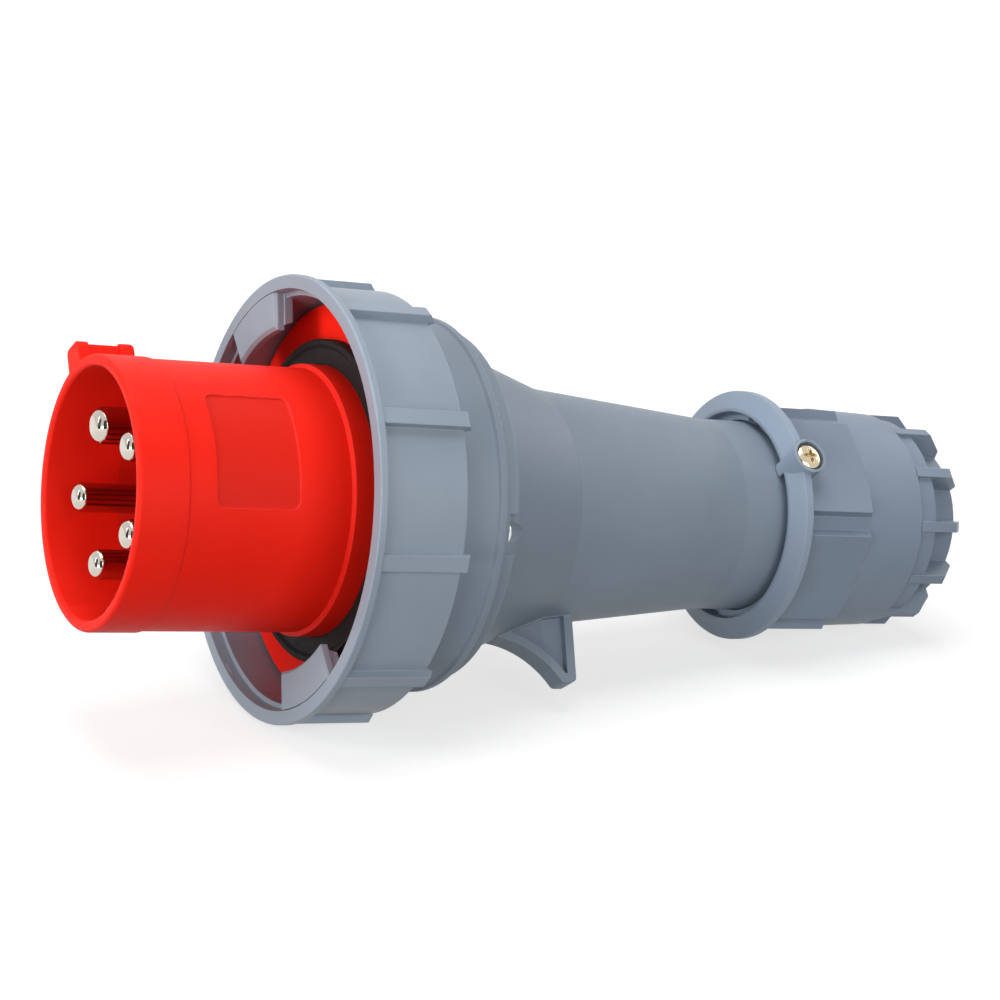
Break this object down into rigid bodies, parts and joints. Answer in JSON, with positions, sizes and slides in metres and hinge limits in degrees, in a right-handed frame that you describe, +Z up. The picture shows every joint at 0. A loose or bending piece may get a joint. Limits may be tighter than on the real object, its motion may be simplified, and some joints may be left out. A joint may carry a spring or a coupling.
{
  "type": "industrial pin and sleeve plug",
  "caption": "Splashproof industrial power plug: keyed round sleeve with round contact pins, bayonet locking ring, tapered housing and clamping cable gland.",
  "frame": {"origin": "centre of the sleeve's mouth, on the axis of the plug", "axes": "the plug lies at rest on two ribs of the locking ring and one rib of the cap nut; +X runs level towards the cable end, +Z is up, and the axis of the plug dips by about 8 degrees from +X"},
  "size_m": [0.2723, 0.12, 0.1198],
  "materials": {
    "red_plastic": "signal red moulded plastic, satin",
    "grey_plastic": "blue-grey moulded plastic, fine satin texture",
    "ring_plastic": "lighter blue-grey moulded plastic, satin",
    "black_plastic": "black moulded plastic",
    "rubber": "black seal rubber",
    "nickel": "nickel plated brass, polished",
    "zinc": "bright zinc plated steel",
    "brass": "yellow brass"
  },
  "bodies": {
    "plug": {"sleeve": "red_plastic", "pin_earth": "nickel", "pin_l1": "nickel", "pin_l2": "nickel", "pin_l3": "nickel", "pin_neutral": "nickel", "contact_carrier": "red_plastic", "pin_retainer": "black_plastic", "retainer_screws": "zinc", "terminal_screws": "zinc", "front_gasket": "rubber", "body_seal": "rubber", "housing": "grey_plastic", "body_screws": "zinc", "gland_collar": "grey_plastic", "collar_screw": "brass", "collar_seal": "rubber", "gland_seal": "rubber", "clamping_cage": "black_plastic"},
    "ring": {"locking_ring": "ring_plastic"},
    "washer": {"thrust_washer": "zinc"},
    "nut": {"cap_nut": "grey_plastic"}
  },
  "joints": [
    {"name": "ring_turn", "type": "hinge", "parent": "plug", "child": "ring", "pos_m": [0.06579, 0, -0.00935], "axis": [0.9901, 0, -0.1407], "continuous": true},
    {"name": "washer_travel", "type": "slide", "parent": "plug", "child": "washer", "axis": [0.9901, 0, -0.1407], "range_m": [0, 0.006]},
    {"name": "nut_turn", "type": "hinge", "parent": "washer", "child": "nut", "pos_m": [0.24524, 0, -0.03485], "axis": [0.9901, 0, -0.1407], "range_deg": [0, 720]}
  ],
  "couplings": [
    {"joint": "washer_travel", "follows": "nut_turn", "m_per_rad": 0.00047746}
  ]
}
